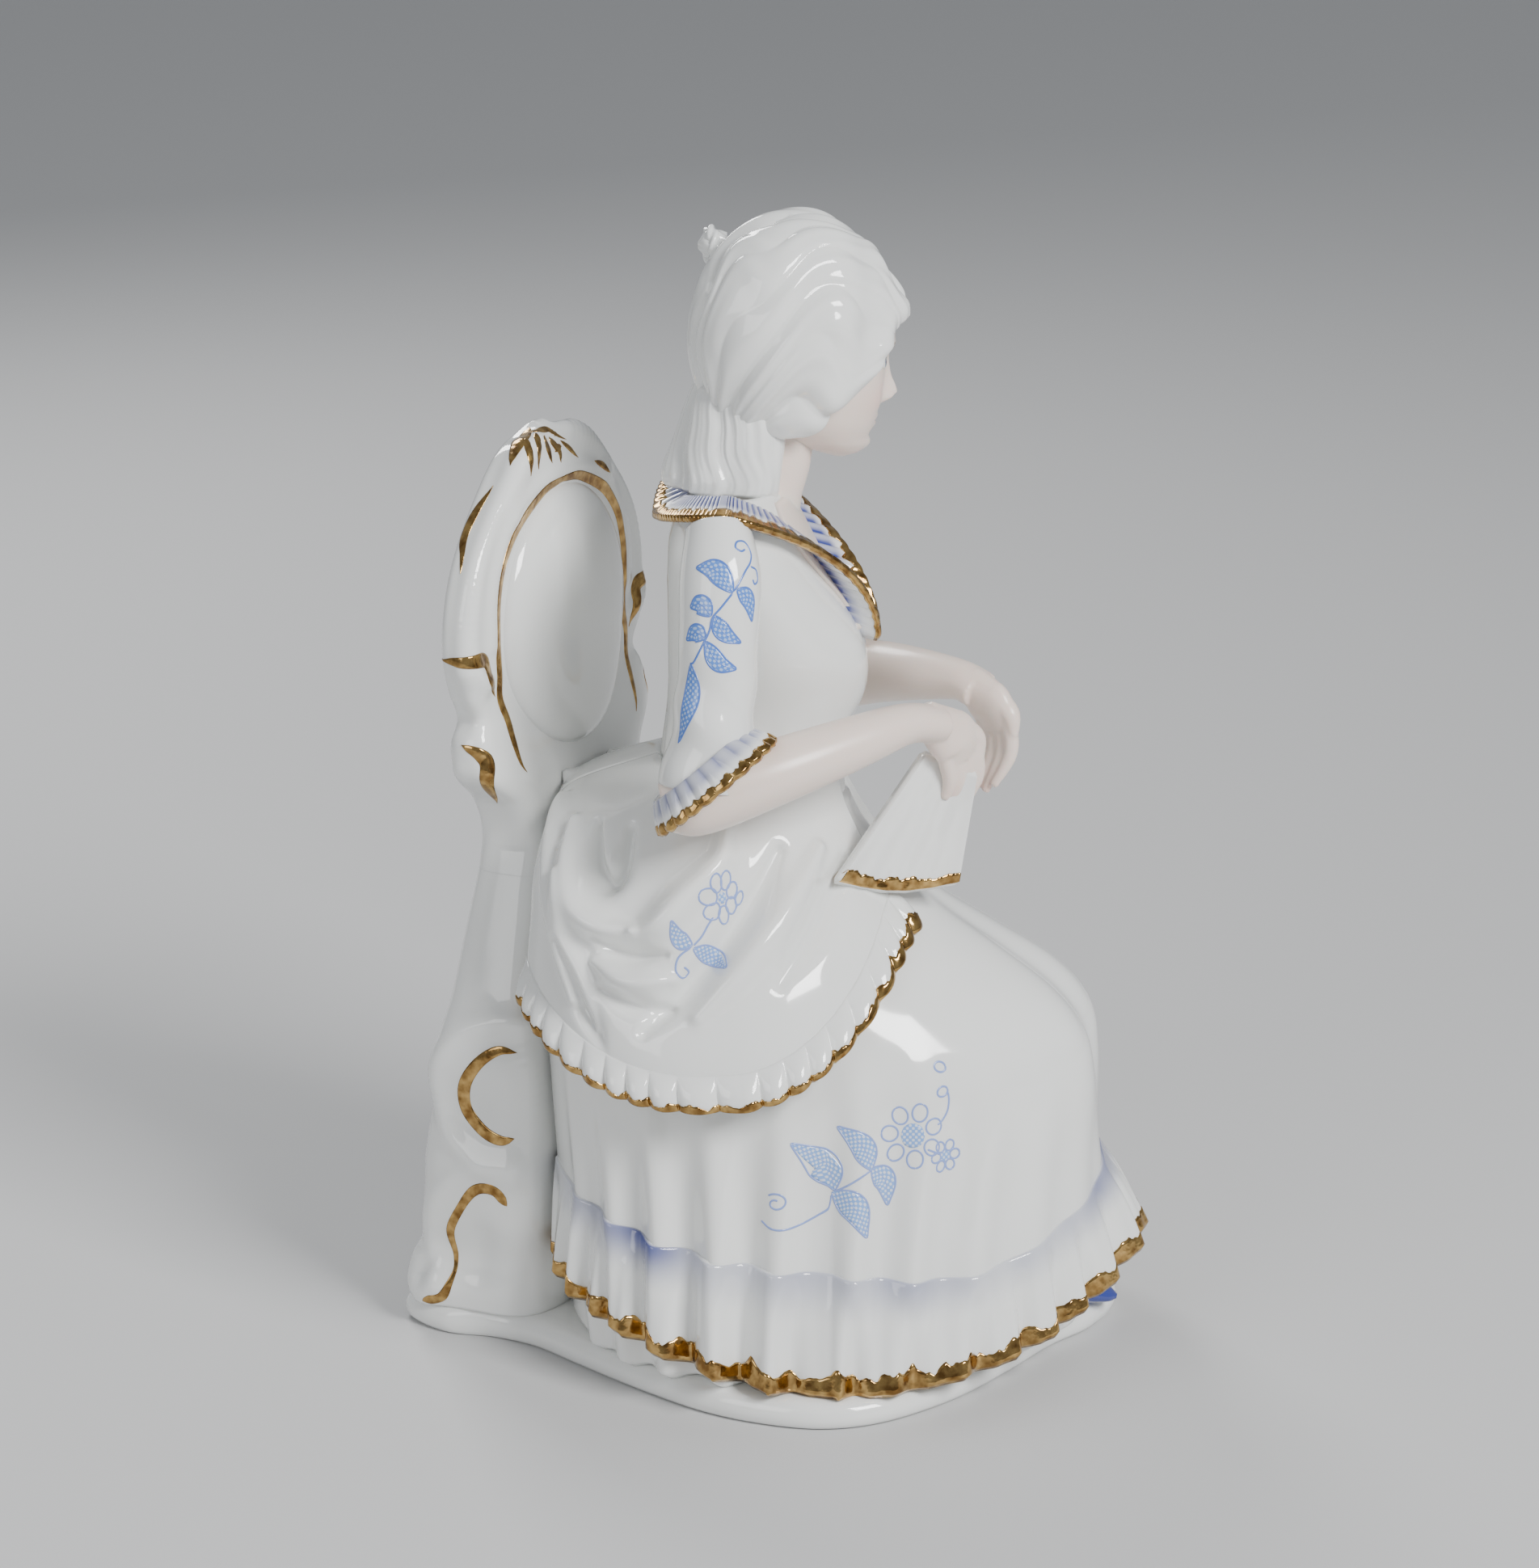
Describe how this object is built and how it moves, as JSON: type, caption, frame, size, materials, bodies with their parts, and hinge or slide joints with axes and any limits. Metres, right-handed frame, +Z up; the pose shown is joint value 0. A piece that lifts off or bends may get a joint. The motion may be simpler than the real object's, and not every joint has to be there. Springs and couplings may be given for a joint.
{
  "type": "porcelain figurine",
  "caption": "Glazed porcelain figurine of a lady in period dress seated on a carved chair, turned to one side, with blue printed sprays and gilt edges.",
  "frame": {"origin": "middle of the footprint, on the shelf the plinth stands on", "axes": "+Z up; -Y is the way the chair faces; the lady is turned 25 degrees from it to her left"},
  "size_m": [0.1022, 0.1228, 0.1993],
  "materials": {
    "white_glaze": "gloss",
    "flesh_glaze": "satin",
    "cobalt_glaze": "gloss",
    "gilding": "gloss"
  },
  "bodies": {
    "root": {"plinth": "white_glaze", "chair_legs": "white_glaze", "chair_back": "white_glaze", "chair_pad": "white_glaze", "skirt": "white_glaze", "skirt_flounce": "white_glaze", "overskirt_right": "white_glaze", "overskirt_left": "white_glaze", "frill_right": "white_glaze", "frill_left": "white_glaze", "bodice": "white_glaze", "collar": "white_glaze", "sleeve_right": "white_glaze", "sleeve_left": "white_glaze", "cuff_right": "white_glaze", "cuff_left": "white_glaze", "hair": "white_glaze", "hair_fall": "white_glaze", "hair_bow": "white_glaze", "fan": "white_glaze", "forearm_right": "flesh_glaze", "forearm_left": "flesh_glaze", "head": "flesh_glaze", "shoe": "cobalt_glaze"}
  },
  "joints": []
}
